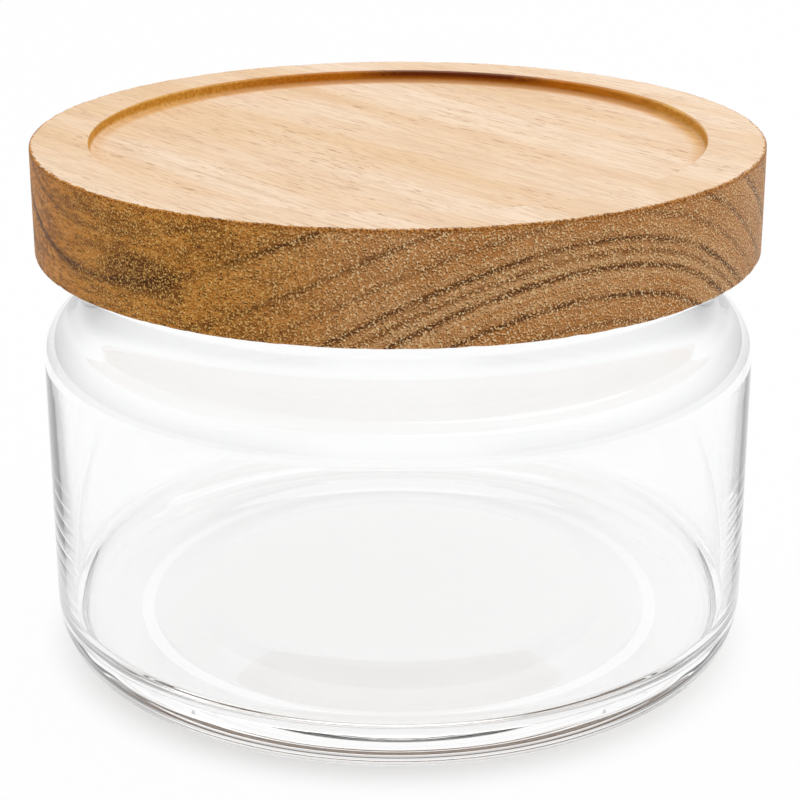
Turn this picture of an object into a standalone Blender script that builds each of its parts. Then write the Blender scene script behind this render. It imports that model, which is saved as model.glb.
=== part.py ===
"""Round glass canister with a turned wooden lid and a silicone seal ring.

Metres, +Z up. The origin is the centre of the foot ring, on the surface the jar stands on.
The jar stands on a narrow foot ring under a flat heel that clears the ground by a hair.
"""

import math

import bpy

# Jar body, outside
JAR_RADIUS = 0.0629
JAR_HEIGHT = 0.0739
FOOT_RADIUS = 0.0477
HEEL_HEIGHT = 0.0124
HEEL_POWER = 2.8
HEEL_EDGE_RADIUS = 0.0529
HEEL_LIFT = 0.0001
SHOULDER_RADIUS = 0.0090
SHOULDER_PITCH = math.radians(30)
NECK_RADIUS = 0.0530
NECK_HEIGHT = 0.0083
NECK_FILLET = 0.0080

# Jar body, thickness of the glass
NECK_WALL = 0.0024
RIM_LAND = 0.0002
SHOULDER_WALL = 0.0024
WALL_AT_TOP = 0.0014
WALL_AT_BASE = 0.0024
BASE_THICKNESS = 0.0066
INNER_HEEL_RADIUS = 0.0055
FLOOR_RISE = 0.0019
FLOOR_RISE_RADIUS = 0.0495
FLOOR_SLOPE_WIDTH = 0.0135
FLOOR_FILLET = 0.0300

# Underside of the jar
PUSH_UP_HEIGHT = 0.0004
BEARING_RING_WIDTH = 0.0031
PUSH_UP_SLOPE_WIDTH = 0.0068
PUSH_UP_FILLET = 0.0200

# Wooden lid
LID_OVERHANG = 0.0006
LID_THICKNESS = 0.0187
EDGE_ROUND = 0.0004
RECESS_RADIUS = 0.0534
RECESS_DEPTH = 0.0019
RECESS_FILLET = 0.0009
PLUG_DEPTH = 0.0044
PLUG_CLEARANCE = 0.0012
PLUG_EDGE_ROUND = 0.0006
GROOVE_DEPTH = 0.0022
GROOVE_HEIGHT = 0.0026
GROOVE_DROP = 0.0010

# Silicone seal ring
LIP_LENGTH = 0.0012
LIP_TIP_RADIUS = 0.0002
LIP_THICKNESS = 0.0006
VALLEY_HALF_HEIGHT = 0.0001

# Gap between touching pieces
SEAT_GAP = 0.0003

# Rounding of the turned shapes
STEPS_ROUND = 72
MERGE_DISTANCE = 0.00001
SHARP_ANGLE = math.radians(32)


def clear_scene():
    for obj in list(bpy.data.objects):
        bpy.data.objects.remove(obj)


def new_collection(name):
    collection = bpy.data.collections.new(name)
    bpy.context.scene.collection.children.link(collection)
    return collection


def plain_material(name, colour, roughness, transmission=0.0, ior=1.45):
    material = bpy.data.materials.new(name)
    material.use_nodes = True
    shader = material.node_tree.nodes["Principled BSDF"]
    shader.inputs["Base Color"].default_value = (*colour, 1)
    shader.inputs["Roughness"].default_value = roughness
    shader.inputs["Metallic"].default_value = 0.0
    shader.inputs["Transmission Weight"].default_value = transmission
    shader.inputs["IOR"].default_value = ior
    material.diffuse_color = (*colour, 1)
    return material


def rounded(corners):
    """Points along a line of (radius, height, fillet, steps) corners, with an arc at each that has a fillet."""
    points = []
    for index, (x, z, fillet, steps) in enumerate(corners):
        if not fillet:
            points.append((x, z))
            continue
        before = corners[index - 1]
        after = corners[index + 1]
        start = math.atan2(before[1] - z, before[0] - x)
        end = math.atan2(after[1] - z, after[0] - x)
        turn = (end - start + math.pi) % math.tau - math.pi
        half = abs(turn) / 2
        bisector = start + turn / 2
        reach = fillet / math.sin(half)
        centre_x = x + reach * math.cos(bisector)
        centre_z = z + reach * math.sin(bisector)
        sweep = math.pi - 2 * half
        side = math.copysign(1, turn)
        for step in range(steps + 1):
            angle = bisector + math.pi + side * sweep * (1 / 2 - step / steps)
            points.append((centre_x + fillet * math.cos(angle), centre_z + fillet * math.sin(angle)))
    return points


def turned(name, points, material, collection, place, parent=None):
    """A solid of revolution about Z from points that run down its outer side."""
    outline = bpy.data.meshes.new(name + "_outline")
    outline.from_pydata([(x, 0, z) for x, z in points], [(i, i + 1) for i in range(len(points) - 1)], [])
    obj = bpy.data.objects.new(name, outline)
    collection.objects.link(obj)
    screw = obj.modifiers.new("turn", "SCREW")
    screw.axis = "Z"
    screw.angle = math.tau
    screw.steps = STEPS_ROUND
    screw.render_steps = STEPS_ROUND
    screw.use_merge_vertices = True
    screw.merge_threshold = MERGE_DISTANCE
    bpy.context.view_layer.update()
    graph = bpy.context.evaluated_depsgraph_get()
    solid = bpy.data.meshes.new_from_object(obj.evaluated_get(graph))
    solid.name = name
    obj.modifiers.clear()
    obj.data = solid
    bpy.data.meshes.remove(outline)
    solid.materials.clear()
    solid.materials.append(material)
    solid.shade_smooth()
    solid.set_sharp_from_angle(angle=SHARP_ANGLE)
    obj.location = place
    obj.parent = parent
    return obj


def heel_points(steps):
    """Outer heel from the straight wall down to its flat edge, a rounded square turned on its side."""
    points = []
    for step in range(steps + 1):
        angle = math.pi / 2 * step / steps
        across = math.cos(angle) ** (2 / HEEL_POWER)
        down = math.sin(angle) ** (2 / HEEL_POWER)
        x = HEEL_EDGE_RADIUS + (JAR_RADIUS - HEEL_EDGE_RADIUS) * across
        z = HEEL_LIFT + (HEEL_HEIGHT - HEEL_LIFT) * (1 - down)
        points.append((x, z))
    return points


def mouth_radius():
    return NECK_RADIUS - NECK_WALL


def glass_jar(collection):
    glass = plain_material("clear_glass", (0.96, 0.97, 0.97), 0.02, transmission=1.0, ior=1.5)
    slope = math.tan(SHOULDER_PITCH)
    neck_foot = JAR_HEIGHT - NECK_HEIGHT
    shoulder_edge = neck_foot - (JAR_RADIUS - NECK_RADIUS) * slope
    inner_drop = SHOULDER_WALL / math.cos(SHOULDER_PITCH)
    inner_neck_foot = neck_foot + NECK_WALL * slope - inner_drop
    inner_shoulder_edge = shoulder_edge + WALL_AT_TOP * slope - inner_drop
    rim_round = (NECK_WALL - RIM_LAND) / 2
    inside = [
        (0, BASE_THICKNESS + FLOOR_RISE, 0, 0),
        (FLOOR_RISE_RADIUS - FLOOR_SLOPE_WIDTH, BASE_THICKNESS + FLOOR_RISE, FLOOR_FILLET, 3),
        (FLOOR_RISE_RADIUS, BASE_THICKNESS, FLOOR_FILLET, 3),
        (JAR_RADIUS - WALL_AT_BASE, BASE_THICKNESS, INNER_HEEL_RADIUS, 7),
        (JAR_RADIUS - WALL_AT_TOP, inner_shoulder_edge, SHOULDER_RADIUS - SHOULDER_WALL, 6),
        (mouth_radius(), inner_neck_foot, NECK_FILLET + SHOULDER_WALL, 4),
        (mouth_radius(), JAR_HEIGHT, rim_round, 3),
        (NECK_RADIUS, JAR_HEIGHT, rim_round, 3),
        (NECK_RADIUS, neck_foot, NECK_FILLET, 4),
        (JAR_RADIUS, shoulder_edge, SHOULDER_RADIUS, 6),
        (JAR_RADIUS, HEEL_HEIGHT, 0, 0),
    ]
    bearing_edge = FOOT_RADIUS - BEARING_RING_WIDTH
    push_up_edge = bearing_edge - PUSH_UP_SLOPE_WIDTH
    underside = [
        (FOOT_RADIUS, 0, 0, 0),
        (bearing_edge, 0, PUSH_UP_FILLET, 3),
        (push_up_edge, PUSH_UP_HEIGHT, PUSH_UP_FILLET, 3),
        (0, PUSH_UP_HEIGHT, 0, 0),
    ]
    points = rounded(inside)[:-1] + heel_points(9) + rounded(underside)
    return turned("glass_jar", points, glass, collection, (0, 0, 0))


def plug_radius():
    return mouth_radius() - PLUG_CLEARANCE


def groove_radius():
    return plug_radius() - GROOVE_DEPTH


def wood_lid(collection, seat):
    """Heights are measured from the lid's underside, which bears on the rim."""
    wood = plain_material("acacia", (0.62, 0.42, 0.24), 0.5)
    lid_radius = JAR_RADIUS + LID_OVERHANG
    recess_floor = LID_THICKNESS - RECESS_DEPTH
    points = rounded([
        (0, recess_floor, 0, 0),
        (RECESS_RADIUS, recess_floor, RECESS_FILLET, 3),
        (RECESS_RADIUS, LID_THICKNESS, EDGE_ROUND, 2),
        (lid_radius, LID_THICKNESS, EDGE_ROUND, 2),
        (lid_radius, 0, EDGE_ROUND, 2),
        (plug_radius(), 0, 0, 0),
        (plug_radius(), -GROOVE_DROP, 0, 0),
        (groove_radius(), -GROOVE_DROP, 0, 0),
        (groove_radius(), -GROOVE_DROP - GROOVE_HEIGHT, 0, 0),
        (plug_radius(), -GROOVE_DROP - GROOVE_HEIGHT, 0, 0),
        (plug_radius(), -PLUG_DEPTH, PLUG_EDGE_ROUND, 2),
        (0, -PLUG_DEPTH, 0, 0),
    ])
    return turned("wood_lid", points, wood, collection, (0, 0, SEAT_GAP), seat)


def seal_ring(collection, seat):
    """A flat band in the lid's groove with two soft lips that reach for the neck."""
    silicone = plain_material("clear_silicone", (0.85, 0.86, 0.85), 0.4)
    band_inside = groove_radius() + SEAT_GAP
    lip_tip = mouth_radius() - SEAT_GAP
    band_outside = lip_tip - LIP_LENGTH
    top = -GROOVE_DROP - SEAT_GAP
    bottom = -GROOVE_DROP - GROOVE_HEIGHT + SEAT_GAP
    middle = (top + bottom) / 2
    points = rounded([
        (band_inside, bottom, 0, 0),
        (band_inside, top, 0, 0),
        (lip_tip, top, LIP_TIP_RADIUS, 2),
        (lip_tip, top - LIP_THICKNESS, LIP_TIP_RADIUS, 2),
        (band_outside, middle + VALLEY_HALF_HEIGHT, 0, 0),
        (band_outside, middle - VALLEY_HALF_HEIGHT, 0, 0),
        (lip_tip, bottom + LIP_THICKNESS, LIP_TIP_RADIUS, 2),
        (lip_tip, bottom, LIP_TIP_RADIUS, 2),
        (band_inside, bottom, 0, 0),
    ])
    return turned("seal_ring", points, silicone, collection, (0, 0, SEAT_GAP), seat)


def main():
    clear_scene()
    collection = new_collection("glass_canister")
    seat = bpy.data.objects.new("lid_axis", None)
    seat.location = (0, 0, JAR_HEIGHT)
    collection.objects.link(seat)
    glass_jar(collection)
    seal_ring(collection, seat)
    wood_lid(collection, seat)


main()
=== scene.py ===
"""Looks for a round glass canister with a turned acacia lid and a silicone seal ring.

Metres, +Z up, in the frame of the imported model. The wood's finish is worked out in millimetres.
"""

import math

import bpy
from mathutils import Matrix, Vector


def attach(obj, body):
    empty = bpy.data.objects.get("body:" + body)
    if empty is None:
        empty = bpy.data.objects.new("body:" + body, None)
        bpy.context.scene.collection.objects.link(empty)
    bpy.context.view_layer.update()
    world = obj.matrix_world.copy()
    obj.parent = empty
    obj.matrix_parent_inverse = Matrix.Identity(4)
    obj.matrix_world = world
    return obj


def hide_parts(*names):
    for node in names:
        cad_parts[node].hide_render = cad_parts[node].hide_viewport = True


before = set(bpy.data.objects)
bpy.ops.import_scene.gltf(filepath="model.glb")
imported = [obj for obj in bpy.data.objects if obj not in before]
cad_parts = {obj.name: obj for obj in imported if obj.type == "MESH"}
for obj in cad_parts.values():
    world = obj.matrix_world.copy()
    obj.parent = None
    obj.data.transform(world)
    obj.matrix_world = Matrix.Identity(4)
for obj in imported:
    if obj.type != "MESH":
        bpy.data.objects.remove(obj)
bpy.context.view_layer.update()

# Glass body, outside
JAR_RADIUS = 0.0629
JAR_HEIGHT = 0.0739
FOOT_RADIUS = 0.0477
HEEL_HEIGHT = 0.0124
HEEL_POWER = 2.8
HEEL_EDGE = 0.0529
HEEL_LIFT = 0.0001
SHOULDER_RADIUS = 0.0090
SHOULDER_PITCH = math.radians(30)
NECK_RADIUS = 0.0530
NECK_HEIGHT = 0.0083
NECK_FILLET = 0.0080

# Glass body, thickness
NECK_WALL = 0.0024
RIM_LAND = 0.0002
SHOULDER_WALL = 0.0024
WALL_AT_TOP = 0.0014
WALL_AT_BASE = 0.0024
BASE_THICKNESS = 0.0066
INNER_HEEL_RADIUS = 0.0055
FLOOR_RISE = 0.0019
FLOOR_RISE_RADIUS = 0.0495
FLOOR_SLOPE_WIDTH = 0.0135
FLOOR_FILLET = 0.0300
PUSH_UP_HEIGHT = 0.0004
BEARING_RING_WIDTH = 0.0031
PUSH_UP_SLOPE_WIDTH = 0.0068
PUSH_UP_FILLET = 0.0200

# Waves in the glass's inner face: their depth, then the weight, turns, climb per metre and start of each
GLASS_SWAY = 0.00002
GLASS_WAVES = [(1.0, 3, 40, 0.6), (0.7, 5, -55, 2.1), (0.5, 8, 90, 4.0), (0.6, 2, 160, 0.0)]

# Wooden lid
LID_OVERHANG = 0.0006
LID_THICKNESS = 0.0187
EDGE_ROUND = 0.0004
RECESS_DEPTH = 0.0019
RECESS_FILLET = 0.0009
RECESS_RADIUS = 0.0534
PLUG_DEPTH = 0.0044
PLUG_CLEARANCE = 0.0012
PLUG_EDGE_ROUND = 0.0006
GROOVE_DEPTH = 0.0022
GROOVE_HEIGHT = 0.0026
GROOVE_DROP = 0.0010

# Chips in the lid's crisp edges: the deepest, and the counts of the ripples that add up to them
EDGE_CHIP = 0.00016
CHIP_RIPPLES = (17, 31, 46, 71, 97, 128)

# Seal ring
LIP_LENGTH = 0.0012
LIP_TIP_RADIUS = 0.0002
LIP_THICKNESS = 0.0006
VALLEY_HALF_HEIGHT = 0.0001
SEAT_GAP = 0.0003

LID_RADIUS = JAR_RADIUS + LID_OVERHANG
LID_SEAT = JAR_HEIGHT + SEAT_GAP
MOUTH_RADIUS = NECK_RADIUS - NECK_WALL
PLUG_RADIUS = MOUTH_RADIUS - PLUG_CLEARANCE
GROOVE_RADIUS = PLUG_RADIUS - GROOVE_DEPTH

# How finely the pieces are turned
ON_AXIS = 0.0001
SHARP_ANGLE = math.radians(40)
GLASS_SPAN = 0.0035
WOOD_SPAN = 0.005

# The board that the lid was turned from: fibre direction in plan, and the pith under it, in millimetres
FIBRE_HEADING = math.radians(-50)
PITH_ACROSS = -12.3
PITH_UP = -39.0
# Heading of the back of the recess, where the wall faces away from the lamp and its shade is painted
PAINTED_SHADE_HEADING = math.radians(78)
# Late wood of each ring: distance from the pith in millimetres, and depth
RINGS = [
    (40.6, 0.6), (44.9, 1.0), (49.4, 1.0), (51.6, 0.6), (53.6, 1.0),
    (57.6, 0.5), (61.7, 0.75), (67.9, 1.0), (73.4, 0.5), (80.0, 0.6),
]
# The pale bands beside the clearest rings, in the same terms
PALE_BANDS = [(46.3, 0.5), (48.1, 0.9), (50.5, 1.0), (52.5, 0.5), (54.8, 0.5), (66.6, 0.5)]
FIRST_RING, LAST_RING = 38.0, 88.0

MM = 1000.0

# Studio. The surround is the strength of the light from all round
FLOOR_REACH = 1.6
LAMP_WIDTH = 1.6
LAMP_POWER = 12.0
LAMP_PLACE = Vector((0.25, 0.25, 1.35))
LAMP_TARGET = Vector((0, 0, 0.06))
SURROUND = 0.5

# The photograph's camera, fitted to the ellipses of the lid and the foot. Its height and its distance are
# in shares of the lid's radius
IMAGE_PIXELS = 800
FOCAL_PIXELS = 2188.7
CAMERA_HEIGHT = 2.8095
CAMERA_DISTANCE = 5.8913
CAMERA_PITCH = 0.3465
CAMERA_YAW = 0.0008
CAMERA_ROLL = -0.0021


def srgb(red, green, blue):
    """A colour as a paint chart gives it, 0 to 255, as the linear values that a shader takes."""
    def linear(level):
        level /= 255
        return level / 12.92 if level <= 0.04045 else ((level + 0.055) / 1.055) ** 2.4
    return (linear(red), linear(green), linear(blue), 1.0)


class Wire:
    """One output of a finish's node, with the operators that the finishes use."""

    def __init__(self, finish, socket):
        self.finish = finish
        self.socket = socket

    def math(self, operation, *values):
        return self.finish.node("ShaderNodeMath", {"operation": operation}, dict(enumerate(values)))

    def __add__(self, other):
        return self.math("ADD", self, other)

    def __sub__(self, other):
        return self.math("SUBTRACT", self, other)

    def __rsub__(self, other):
        return self.math("SUBTRACT", other, self)

    def __mul__(self, other):
        return self.math("MULTIPLY", self, other)

    def __truediv__(self, other):
        return self.math("DIVIDE", self, other)

    def __pow__(self, other):
        return self.math("POWER", self, other)

    def __abs__(self):
        return self.math("ABSOLUTE", self)

    __radd__ = __add__
    __rmul__ = __mul__

    def most(self, other):
        return self.math("MAXIMUM", self, other)

    def fade(self, start, end, at_start=0.0, at_end=1.0):
        """Runs smoothly from at_start to at_end as the value runs from start to end, and stays there."""
        settings = {"interpolation_type": "SMOOTHSTEP"}
        return self.finish.node("ShaderNodeMapRange", settings, {
            "Value": self, "From Min": start, "From Max": end, "To Min": at_start, "To Max": at_end})


class Finish:
    """The tree of nodes of one material, or of the world."""

    def __init__(self, holder):
        self.holder = holder
        holder.use_nodes = True
        self.tree = holder.node_tree
        self.tree.nodes.clear()

    def node(self, kind, settings=None, sockets=None, out=0):
        """Adds a node, sets its settings and then its sockets' values or wires, and gives one output."""
        node = self.tree.nodes.new(kind)
        for key, value in (settings or {}).items():
            if key == "stops":
                self.set_stops(node.color_ramp, value)
            else:
                setattr(node, key, value)
        for key, value in (sockets or {}).items():
            if isinstance(value, Wire):
                self.tree.links.new(value.socket, node.inputs[key])
            else:
                node.inputs[key].default_value = value
        return Wire(self, node.outputs[out])

    @staticmethod
    def set_stops(ramp, stops):
        while len(ramp.elements) < len(stops):
            ramp.elements.new(1.0)
        for element, (position, level) in zip(ramp.elements, stops):
            element.position = position
            element.color = (level, level, level, 1.0)

    def along(self, vector, direction):
        """How far a vector reaches along a direction."""
        sockets = {0: vector, 1: direction}
        return self.node("ShaderNodeVectorMath", {"operation": "DOT_PRODUCT"}, sockets, "Value")

    def length(self, vector):
        return self.node("ShaderNodeVectorMath", {"operation": "LENGTH"}, {0: vector}, "Value")

    def point(self, x, y, z):
        return self.node("ShaderNodeCombineXYZ", None, {"X": x, "Y": y, "Z": z})

    def noise(self, point, scale, detail=2.0, roughness=0.5):
        return self.node("ShaderNodeTexNoise", None, {
            "Vector": point, "Scale": scale, "Detail": detail, "Roughness": roughness})

    def bands(self, share, places, before, after):
        """Bands round the pith at (distance, depth) places.

        They fade in over the width before, and out over the width after. The share runs from 0 at the
        first ring to 1 at the last.
        """
        run = LAST_RING - FIRST_RING
        stops = []
        for distance, depth in places:
            at = (distance - FIRST_RING) / run
            stops += [(at - before / run, 0.0), (at, depth), (at + after / run, 0.0)]
        ramp = self.node("ShaderNodeValToRGB", {"stops": stops}, {0: share})
        return self.node("ShaderNodeSeparateColor", None, {0: ramp}, 0)

    def tint(self, factor, first, second):
        """The first colour where the factor is 0, and the second where it is 1."""
        return self.node("ShaderNodeMix", {"data_type": "RGBA"}, {0: factor, 6: first, 7: second}, 2)

    def layered(self, colour, layers):
        """The colour with each (mask, colour) layer laid over it in turn."""
        for mask, over in layers:
            colour = self.tint(mask, colour, over)
        return colour

    def bump(self, height, distance, strength):
        sockets = {"Height": height, "Distance": distance, "Strength": strength}
        return self.node("ShaderNodeBump", None, sockets)

    def principled(self, **sockets):
        named = {key.replace("_", " "): value for key, value in sockets.items()}
        return self.node("ShaderNodeBsdfPrincipled", None, named)

    def end(self, surface, kind="ShaderNodeOutputMaterial"):
        """Joins the surface to the tree's output, and gives the material or world."""
        output = self.tree.nodes.new(kind)
        self.tree.links.new(surface.socket, output.inputs["Surface"])
        return self.holder


def acacia_wood():
    """Flat-sawn acacia. The pith lies under the board, so its rings arch on the end grain."""
    wood = Finish(bpy.data.materials.new("acacia_wood"))
    place = wood.node("ShaderNodeTexCoord", out="Object")
    facing = wood.node("ShaderNodeTexCoord", out="Normal")
    heading = Vector((math.cos(FIBRE_HEADING), math.sin(FIBRE_HEADING), 0))
    sideways = Vector((-heading.y, heading.x, 0))
    upright = Vector((0, 0, 1))

    # Places on the lid in millimetres, up from the seat that it rests on
    fibre = wood.along(place, heading * MM)
    across = wood.along(place, sideways * MM)
    up = wood.along(place, upright * MM) - LID_SEAT * MM
    plan = wood.node("ShaderNodeVectorMath", {"operation": "MULTIPLY"}, {0: place, 1: (MM, MM, 0)})
    from_axis = wood.length(plan)
    lid_edge, lid_top = LID_RADIUS * MM, LID_THICKNESS * MM
    recess_edge, recess_floor = RECESS_RADIUS * MM, (LID_THICKNESS - RECESS_DEPTH) * MM
    end_grain = wood.along(facing, heading)
    level = abs(wood.along(facing, upright))

    def grain(share):
        """A point for noise that is drawn out along the fibre, the longer the smaller the share."""
        return wood.point(fibre * share, across, up)

    # Growth rings, each a dotted dark line with paler wood beside it
    slow = grain(0.12)
    wander = wood.noise(slow, 0.05) - 0.5
    jitter = wood.noise(grain(0.2), 1.4) - 0.5
    from_pith = ((across - PITH_ACROSS) ** 2 + (up - PITH_UP) ** 2) ** 0.5
    rings = (from_pith + wander * 1.2 + jitter - FIRST_RING) / (LAST_RING - FIRST_RING)
    patches = wood.noise(slow, 0.22, detail=3.0)
    late = wood.bands(rings, RINGS, before=0.9, after=0.55) * patches.fade(0.34, 0.54, 0.5, 1.0)
    shade = wood.bands(rings, RINGS, before=0.9, after=1.9)
    pale = wood.bands(rings, PALE_BANDS, before=0.8, after=0.8)

    # Cut fibres: cream worms, each with a dark pit just below it that is painted shadow, as if the worm
    # stood in relief, and pale vessels
    whole = wood.point(fibre, across, up)
    beside = wood.point(fibre, across + 0.08, up + 0.15)
    curl = wood.noise(whole, 3.1, detail=1.0, roughness=0.6)
    worm = curl.fade(0.53, 0.62)
    pit_and_shadow = wood.noise(beside, 3.1, detail=1.0, roughness=0.6).fade(0.52, 0.63) * (1 - worm)
    cell_settings = {"feature": "F1", "distance": "EUCLIDEAN"}
    cells = wood.node("ShaderNodeTexVoronoi", cell_settings, {"Vector": whole, "Scale": 1.5}, "Distance")
    vessel = cells.fade(0.28, 0.12)

    # Fibres that run along the face
    tone = wood.noise(slow, 0.06, detail=3.0).fade(0.35, 0.65)
    fibres = wood.noise(grain(0.07), 1.7, detail=5.0, roughness=0.62)
    fuzz = wood.noise(grain(0.35), 2.6, detail=3.0, roughness=0.6)
    dash = wood.noise(grain(0.16), 2.2, detail=3.0, roughness=0.6)
    dapple = wood.noise(grain(0.15), 0.35, detail=3.0)
    drifts = wood.noise(grain(0.4), 0.10)
    scratch = wood.noise(grain(0.10), 2.3, detail=3.0, roughness=0.6)

    # Turned side: brown, darker and deeper than the top, a difference that is partly painted shade; ochre
    # and streaky towards one edge of the board, with one dark stain there
    heart = across.fade(-42.0, -60.0)
    cut = end_grain.fade(-0.30, 0.15).most(abs(end_grain).fade(0.55, 0.80))
    lengthwise = heart.most(1 - cut)
    from_stain = ((fibre - 12.0) / 12.0) ** 2 + ((up - 7.5) / 4.5) ** 2
    stain = from_stain.fade(1.0, 0.2) * across.fade(-54.0, -58.0)
    side = wood.layered(wood.tint(tone, srgb(194, 125, 60), srgb(208, 144, 84)), [
        (shade * 0.3, srgb(112, 64, 22)),
        (pale * 0.6, srgb(236, 190, 136)),
        (heart * 0.85, srgb(216, 140, 50)),
        (dapple.fade(0.54, 0.38) * heart.fade(0.0, 1.0, 0.2, 0.6), srgb(126, 70, 18)),
        (stain * patches.fade(0.42, 0.54) * 0.8, srgb(92, 48, 12)),
        (dash.fade(0.50, 0.38) * lengthwise * 0.65, srgb(112, 66, 18)),
        (dash.fade(0.54, 0.66) * lengthwise * 0.4, srgb(236, 180, 100)),
        (late, srgb(82, 42, 12)),
        # Painted shadow beside each worm
        (pit_and_shadow * cut, srgb(64, 30, 6)),
        (worm * cut * 0.85, wood.tint(heart, srgb(250, 202, 142), srgb(232, 176, 92))),
        (vessel * cut, wood.tint(heart, srgb(255, 230, 182), srgb(252, 210, 130))),
    ])

    # Top: pale honey with short dark dashes in drifts
    top = wood.layered(wood.tint(tone, srgb(243, 208, 168), srgb(254, 229, 202)), [
        (fibres.fade(0.58, 0.36) * 0.35, srgb(212, 162, 110)),
        (late * 0.25, srgb(206, 158, 112)),
        (scratch.fade(0.57, 0.67) * drifts.fade(0.40, 0.60, 0.2, 0.7), srgb(186, 130, 80)),
    ])

    # Recess wall: golden, with painted shade at the back, where it faces away from the lamp: deep orange
    # there, dark brown towards its rim, and paler at its foot
    painted_shade_side = Vector((math.cos(PAINTED_SHADE_HEADING), math.sin(PAINTED_SHADE_HEADING), 0))
    # How far round towards the back of the recess a point lies, which sets the painted shade
    toward_painted_shade = wood.along(place, painted_shade_side * MM) / from_axis
    streaks = fibres.fade(0.3, 0.7)
    # The darkest painted shade, at the back of the wall and towards its rim
    painted_deep_shade = (toward_painted_shade + (fibres - 0.5) * 0.12).fade(0.92, 0.985)
    climb = up.fade(recess_floor + 0.2, lid_top - 0.3)
    foot = up.fade(recess_floor + 0.7, recess_floor)
    wall = wood.layered(wood.tint(streaks, srgb(200, 136, 38), srgb(230, 172, 76)), [
        (toward_painted_shade.fade(0.5, 0.92), wood.tint(streaks, srgb(180, 102, 6), srgb(204, 126, 20))),
        (painted_deep_shade * climb.fade(0.0, 1.0, 0.25, 1.0), srgb(106, 42, 0)),
        (foot * toward_painted_shade.fade(0.3, 0.8, 0.0, 0.85), srgb(216, 158, 98)),
    ])
    in_recess = from_axis.fade(recess_edge + 0.6, recess_edge + 0.2)
    above_floor = up.fade(recess_floor - 1.2, recess_floor)
    side = wood.tint(in_recess * above_floor, side, wall)

    # Painted shade in the wall's colour on the upward faces a little beyond the recess wall, on both
    # sides of it, most at the back
    beyond = (from_axis - recess_edge) / toward_painted_shade.fade(0.0, 0.9, 0.2, 1.3)
    within = from_axis.fade(recess_edge - 3.2, recess_edge - 0.8)
    painted_shade_spread = within * beyond.fade(1.0, 0.7) * toward_painted_shade.fade(-0.6, 0.7, 0.0, 0.92)
    top = wood.tint(painted_shade_spread, top, wall)

    # Outer edges, where the turning tool broke the fibres
    ragged = (wood.noise(grain(0.3), 1.9, detail=3.0, roughness=0.6) - 0.5) * 1.6
    broken = (from_axis + ragged).fade(lid_edge - 0.5, lid_edge - 0.3)
    crest = (up + ragged).fade(lid_top - 0.9, lid_top - 0.4) * (1 - in_recess)
    rim = from_axis.fade(lid_edge - 1.2, lid_edge - 0.6)
    edge = wood.tint(curl.fade(0.40, 0.60), srgb(120, 62, 14), srgb(216, 142, 58))
    # Faces that turn upward take the top's colour and the rest take the side's, so the side's painted
    # shade follows how far each face turns from upright
    colour = wood.tint(level.fade(0.35, 0.85) * (1 - broken), side, top)
    colour = wood.tint(rim * crest * level.fade(0.9, 0.4) * 0.75, colour, edge)

    relief = fibres * 0.35 - late * 0.25 - pit_and_shadow * 0.6 + worm * 0.5 + fuzz * 0.25
    shader = wood.principled(
        Base_Color=colour, Roughness=fibres.fade(0.3, 0.7, 0.42, 0.54) + vessel * 0.1, IOR=1.45,
        Specular_IOR_Level=0.12, Normal=wood.bump(relief, distance=0.00008, strength=0.4))
    return wood.end(shader)


def clear_glass():
    """Clear pressed glass with a faint bloom of handling. Lamps light what stands behind it."""
    glass = Finish(bpy.data.materials.new("clear_glass"))
    place = glass.node("ShaderNodeTexCoord", out="Object")
    bloom = glass.noise(place, 34.0, detail=3.0)
    shader = glass.principled(
        Base_Color=(0.994, 0.996, 0.996, 1), Transmission_Weight=1.0, IOR=1.5,
        Roughness=bloom.fade(0.55, 0.8, 0.0, 0.02))
    lamp_side = glass.node("ShaderNodeBsdfTransparent", None, {0: (0.9, 0.9, 0.9, 1)})
    shadow = glass.node("ShaderNodeLightPath", out="Is Shadow Ray")
    return glass.end(glass.node("ShaderNodeMixShader", None, {0: shadow, 1: shader, 2: lamp_side}))


def clear_silicone():
    """Soft milky silicone with the dull skin of its mould."""
    rubber = Finish(bpy.data.materials.new("clear_silicone"))
    place = rubber.node("ShaderNodeTexCoord", out="Object")
    skin = rubber.noise(place, 900.0, detail=3.0)
    cloud = rubber.noise(place, 60.0)
    shader = rubber.principled(
        Base_Color=rubber.tint(cloud, (0.80, 0.82, 0.81, 1), (0.88, 0.89, 0.88, 1)),
        Roughness=skin.fade(0.3, 0.7, 0.34, 0.48), IOR=1.41, Transmission_Weight=0.45,
        Normal=rubber.bump(skin, distance=0.00003, strength=0.4))
    return rubber.end(shader)


def rounded(corners):
    """Points along a line of (radius, height, fillet, steps) corners, with an arc at each fillet."""
    points = []
    for index, (x, z, fillet, steps) in enumerate(corners):
        if not fillet:
            points.append((x, z))
            continue
        before = corners[index - 1]
        after = corners[(index + 1) % len(corners)]
        start = math.atan2(before[1] - z, before[0] - x)
        end = math.atan2(after[1] - z, after[0] - x)
        turn = (end - start + math.pi) % math.tau - math.pi
        half = abs(turn) / 2
        bisector = start + turn / 2
        reach = fillet / math.sin(half)
        centre_x = x + reach * math.cos(bisector)
        centre_z = z + reach * math.sin(bisector)
        sweep = math.pi - 2 * half
        side = math.copysign(1, turn)
        for step in range(steps + 1):
            angle = bisector + math.pi + side * sweep * (1 / 2 - step / steps)
            points.append((centre_x + fillet * math.cos(angle), centre_z + fillet * math.sin(angle)))
    return points


def divided(points, longest):
    """The same line with its long straight runs cut into shorter ones."""
    line = [points[0]]
    for (x0, z0), (x1, z1) in zip(points, points[1:]):
        count = max(1, math.ceil(math.dist((x0, z0), (x1, z1)) / longest))
        line += [(x0 + (x1 - x0) * i / count, z0 + (z1 - z0) * i / count) for i in range(1, count + 1)]
    return line


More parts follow.
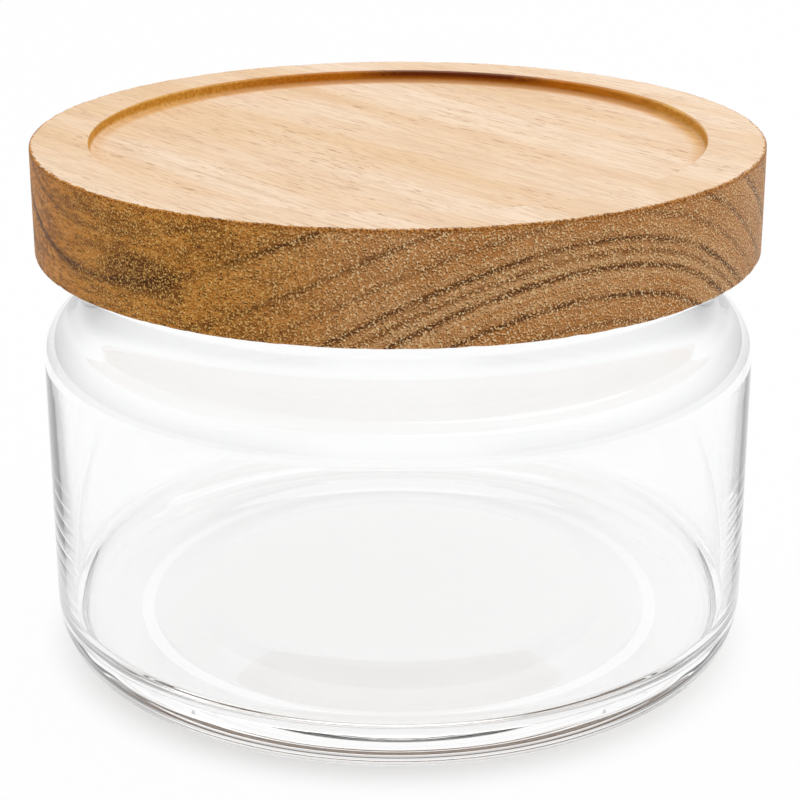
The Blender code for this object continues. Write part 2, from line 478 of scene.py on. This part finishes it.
def turned(name, points, material, steps, lift=0.0, shape=None, closed=False):
    """A smooth body of revolution from points that run down its outer side.

    shape(x, z, angle) moves each point off the axis, and lift raises the whole body.
    """
    vertices, rings = [], []
    for x, z in points:
        count = 1 if x < ON_AXIS else steps
        rings.append([len(vertices) + i for i in range(count)])
        for i in range(count):
            angle = math.tau * i / steps
            px, pz = shape(x, z, angle) if shape and count > 1 else (x, z)
            vertices.append((px * math.cos(angle), px * math.sin(angle), pz + lift))
    if closed:
        rings.append(rings[0])
    faces = []
    for upper, lower in zip(rings, rings[1:]):
        for i in range(steps):
            j = (i + 1) % steps
            if len(upper) == 1:
                faces.append((upper[0], lower[i], lower[j]))
            elif len(lower) == 1:
                faces.append((upper[i], lower[0], upper[j]))
            else:
                faces.append((upper[i], lower[i], lower[j], upper[j]))
    mesh = bpy.data.meshes.new(name)
    mesh.from_pydata(vertices, [], faces)
    mesh.materials.append(material)
    mesh.shade_smooth()
    mesh.set_sharp_from_angle(angle=SHARP_ANGLE)
    obj = bpy.data.objects.new(name, mesh)
    bpy.context.scene.collection.objects.link(obj)
    return obj


def heel_points(steps):
    """Outer heel from the straight wall down to its flat edge, a rounded square turned on its side."""
    points = []
    for step in range(steps + 1):
        angle = math.pi / 2 * step / steps
        across = math.cos(angle) ** (2 / HEEL_POWER)
        down = math.sin(angle) ** (2 / HEEL_POWER)
        x = HEEL_EDGE + (JAR_RADIUS - HEEL_EDGE) * across
        z = HEEL_LIFT + (HEEL_HEIGHT - HEEL_LIFT) * (1 - down)
        points.append((x, z))
    return points


def glass_body(material):
    """The jar in one piece: base, wall, shoulder, neck and rim."""
    slope = math.tan(SHOULDER_PITCH)
    neck_foot = JAR_HEIGHT - NECK_HEIGHT
    shoulder_edge = neck_foot - (JAR_RADIUS - NECK_RADIUS) * slope
    inner_drop = SHOULDER_WALL / math.cos(SHOULDER_PITCH)
    inner_neck_foot = neck_foot + NECK_WALL * slope - inner_drop
    inner_shoulder_edge = shoulder_edge + WALL_AT_TOP * slope - inner_drop
    rim_round = (NECK_WALL - RIM_LAND) / 2
    wall = rounded([
        (0, BASE_THICKNESS + FLOOR_RISE, 0, 0),
        (FLOOR_RISE_RADIUS - FLOOR_SLOPE_WIDTH, BASE_THICKNESS + FLOOR_RISE, FLOOR_FILLET, 8),
        (FLOOR_RISE_RADIUS, BASE_THICKNESS, FLOOR_FILLET, 8),
        (JAR_RADIUS - WALL_AT_BASE, BASE_THICKNESS, INNER_HEEL_RADIUS, 24),
        (JAR_RADIUS - WALL_AT_TOP, inner_shoulder_edge, SHOULDER_RADIUS - SHOULDER_WALL, 18),
        (MOUTH_RADIUS, inner_neck_foot, NECK_FILLET + SHOULDER_WALL, 14),
        (MOUTH_RADIUS, JAR_HEIGHT, rim_round, 6),
        (NECK_RADIUS, JAR_HEIGHT, rim_round, 6),
        (NECK_RADIUS, neck_foot, NECK_FILLET, 14),
        (JAR_RADIUS, shoulder_edge, SHOULDER_RADIUS, 20),
        (JAR_RADIUS, HEEL_HEIGHT, 0, 0),
    ])
    bearing_edge = FOOT_RADIUS - BEARING_RING_WIDTH
    underside = rounded([
        (FOOT_RADIUS, 0, 0, 0),
        (bearing_edge, 0, PUSH_UP_FILLET, 6),
        (bearing_edge - PUSH_UP_SLOPE_WIDTH, PUSH_UP_HEIGHT, PUSH_UP_FILLET, 6),
        (0, PUSH_UP_HEIGHT, 0, 0),
    ])
    rim = max(range(len(wall)), key=lambda index: wall[index][1])
    inner = divided(wall[:rim], GLASS_SPAN)
    outer = divided(wall[rim:-1] + heel_points(steps=28) + underside, GLASS_SPAN)
    inner_places = set(inner)

    def sway(x, z, angle):
        """The slight waves that the mould and the plunger leave in the inner face."""
        if (x, z) not in inner_places or z > shoulder_edge:
            return x, z
        wave = sum(weight * math.cos(turns * angle + climb * z + start)
                   for weight, turns, climb, start in GLASS_WAVES)
        wave *= min(1, x / FOOT_RADIUS) ** 2 * min(1, (shoulder_edge - z) / SHOULDER_RADIUS)
        return x + GLASS_SWAY * wave, z + GLASS_SWAY * wave * 0.5 * (z < HEEL_HEIGHT)

    return turned("glass_body", inner + outer, material, steps=256, shape=sway)


def chipped_edge(x, z, angle):
    """Breaks the crisp outer edges by hair's breadths, most where the rim cuts across the fibres."""
    rounding = EDGE_ROUND * 1.01
    top = abs(z - LID_THICKNESS) <= rounding
    foot = abs(z) <= rounding
    if x < LID_RADIUS - rounding or not (top or foot):
        return x, z
    chip = sum(math.sin(k * angle + 1.7 * k * k) for k in CHIP_RIPPLES) / len(CHIP_RIPPLES)
    chip = max(0.0, chip) * (0.5 + 0.5 * abs(math.cos(angle - FIBRE_HEADING)))
    return x - EDGE_CHIP * chip, z - math.copysign(EDGE_CHIP * chip, 1 if top else -1)


def lid_disc(material):
    """The lid in one piece: disc, recess, and plug with its groove."""
    recess_floor = LID_THICKNESS - RECESS_DEPTH
    groove_foot = -GROOVE_DROP - GROOVE_HEIGHT
    points = rounded([
        (0, recess_floor, 0, 0),
        (RECESS_RADIUS, recess_floor, RECESS_FILLET, 8),
        (RECESS_RADIUS, LID_THICKNESS, EDGE_ROUND, 5),
        (LID_RADIUS, LID_THICKNESS, EDGE_ROUND, 5),
        (LID_RADIUS, 0, EDGE_ROUND, 5),
        (PLUG_RADIUS, 0, 0, 0),
        (PLUG_RADIUS, -GROOVE_DROP, 0, 0),
        (GROOVE_RADIUS, -GROOVE_DROP, 0, 0),
        (GROOVE_RADIUS, groove_foot, 0, 0),
        (PLUG_RADIUS, groove_foot, 0, 0),
        (PLUG_RADIUS, -PLUG_DEPTH, PLUG_EDGE_ROUND, 5),
        (0, -PLUG_DEPTH, 0, 0),
    ])
    line = divided(points, WOOD_SPAN)
    return turned("lid_disc", line, material, steps=320, lift=LID_SEAT, shape=chipped_edge)


def seal_band(material):
    """A flat band in the lid's groove with two soft lips that reach for the neck."""
    band_inside = GROOVE_RADIUS + SEAT_GAP
    lip_tip = MOUTH_RADIUS - SEAT_GAP
    band_outside = lip_tip - LIP_LENGTH
    top = -GROOVE_DROP - SEAT_GAP
    bottom = -GROOVE_DROP - GROOVE_HEIGHT + SEAT_GAP
    middle = (top + bottom) / 2
    points = rounded([
        (band_inside, bottom, 0, 0),
        (band_inside, top, 0, 0),
        (lip_tip, top, LIP_TIP_RADIUS, 4),
        (lip_tip, top - LIP_THICKNESS, LIP_TIP_RADIUS, 4),
        (band_outside, middle + VALLEY_HALF_HEIGHT, 0, 0),
        (band_outside, middle - VALLEY_HALF_HEIGHT, 0, 0),
        (lip_tip, bottom + LIP_THICKNESS, LIP_TIP_RADIUS, 4),
        (lip_tip, bottom, LIP_TIP_RADIUS, 4),
    ])
    return turned("seal_band", points, material, steps=200, lift=LID_SEAT, closed=True)


def studio_floor():
    """A white sheet. The camera and the glass see it as mostly plain white, with the jar's shadow."""
    mesh = bpy.data.meshes.new("studio_floor")
    corners = [(-FLOOR_REACH, -FLOOR_REACH, 0), (FLOOR_REACH, -FLOOR_REACH, 0),
               (FLOOR_REACH, FLOOR_REACH, 0), (-FLOOR_REACH, FLOOR_REACH, 0)]
    mesh.from_pydata(corners, [], [(0, 1, 2, 3)])
    floor = bpy.data.objects.new("studio_floor", mesh)
    bpy.context.scene.collection.objects.link(floor)
    paper = Finish(bpy.data.materials.new("white_paper"))
    matt = paper.node("ShaderNodeBsdfDiffuse", None, {"Color": (0.9, 0.9, 0.9, 1)})
    glow = paper.node("ShaderNodeEmission", None, {"Color": (1, 1, 1, 1), "Strength": 1.0})
    seen = paper.node("ShaderNodeLightPath", out="Is Camera Ray")
    mirrored = paper.node("ShaderNodeLightPath", out="Is Glossy Ray")
    through = paper.node("ShaderNodeLightPath", out="Is Transmission Ray")
    from_axis = paper.length(paper.node("ShaderNodeTexCoord", out="Object"))
    direct = from_axis.fade(LID_RADIUS - 0.008, LID_RADIUS + 0.004, 0.55, 0.97)
    far = from_axis.fade(LID_RADIUS - 0.004, LID_RADIUS + 0.02, 0.85, 1.0)
    share = (seen * direct).most(mirrored.most(through) * far)
    surface = paper.node("ShaderNodeMixShader", None, {0: share, 1: matt, 2: glow})
    mesh.materials.append(paper.end(surface))


def studio_light():
    """Soft light from all round, a broad lamp overhead, and grey flags that draw the glass's edges."""
    scene = bpy.context.scene
    scene.world = bpy.data.worlds.new("studio")
    air = Finish(scene.world)
    heading = air.node("ShaderNodeTexCoord", out="Generated")
    height = air.along(heading, (0, 0, 1))
    sideways = abs(air.along(heading, (1, 0, 0)))
    flag = 1 - sideways.fade(0.3, 0.65, 0.0, 0.9) * height.fade(0.5, 0.2)
    card = height.fade(0.0, 0.5, 0.6, 1.0) * flag
    seen = air.node("ShaderNodeLightPath", out="Is Camera Ray")
    mirrored = air.node("ShaderNodeLightPath", out="Is Glossy Ray")
    through = air.node("ShaderNodeLightPath", out="Is Transmission Ray")
    strength = SURROUND + mirrored.most(through) * (card - SURROUND)
    strength = strength + seen * (1 - strength)
    air.end(air.node("ShaderNodeBackground", None, {"Color": (1, 1, 1, 1), "Strength": strength}),
            "ShaderNodeOutputWorld")
    lamp = bpy.data.lights.new("overhead", "AREA")
    lamp.shape = "DISK"
    lamp.size = LAMP_WIDTH
    lamp.energy = LAMP_POWER
    overhead = bpy.data.objects.new("overhead", lamp)
    overhead.location = LAMP_PLACE
    overhead.rotation_euler = (LAMP_TARGET - LAMP_PLACE).to_track_quat("-Z", "Y").to_euler()
    scene.collection.objects.link(overhead)


def camera():
    """Sets up the photograph's camera in front of the jar."""
    data = bpy.data.cameras.new("camera")
    data.sensor_width = 36
    data.lens = FOCAL_PIXELS / IMAGE_PIXELS * data.sensor_width
    data.clip_start = 0.01
    obj = bpy.data.objects.new("camera", data)
    place = Matrix.Translation((0, -CAMERA_DISTANCE * LID_RADIUS, CAMERA_HEIGHT * LID_RADIUS))
    heading = Matrix.Rotation(-CAMERA_YAW, 4, "Z")
    tilt = Matrix.Rotation(math.pi / 2 - CAMERA_PITCH, 4, "X")
    obj.matrix_world = place @ heading @ tilt @ Matrix.Rotation(CAMERA_ROLL, 4, "Z")
    bpy.context.scene.collection.objects.link(obj)
    bpy.context.scene.camera = obj


def dress():
    """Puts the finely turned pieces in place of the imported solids, on the same bodies."""
    pieces = [
        (glass_body(clear_glass()), "glass_jar", "jar", "clear_glass"),
        (lid_disc(acacia_wood()), "wood_lid", "lid", "acacia_wood"),
        (seal_band(clear_silicone()), "seal_ring", "seal", "clear_silicone"),
    ]
    for piece, node, body, slot in pieces:
        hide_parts(node)
        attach(piece, body)


dress()
studio_floor()
studio_light()
camera()

scene = bpy.context.scene
scene.view_settings.view_transform = "Standard"
# Light crosses four faces of thick glass and turns often in the heel
scene.cycles.max_bounces = 32
scene.cycles.glossy_bounces = 24
scene.cycles.transmission_bounces = 32
scene.cycles.transparent_max_bounces = 16
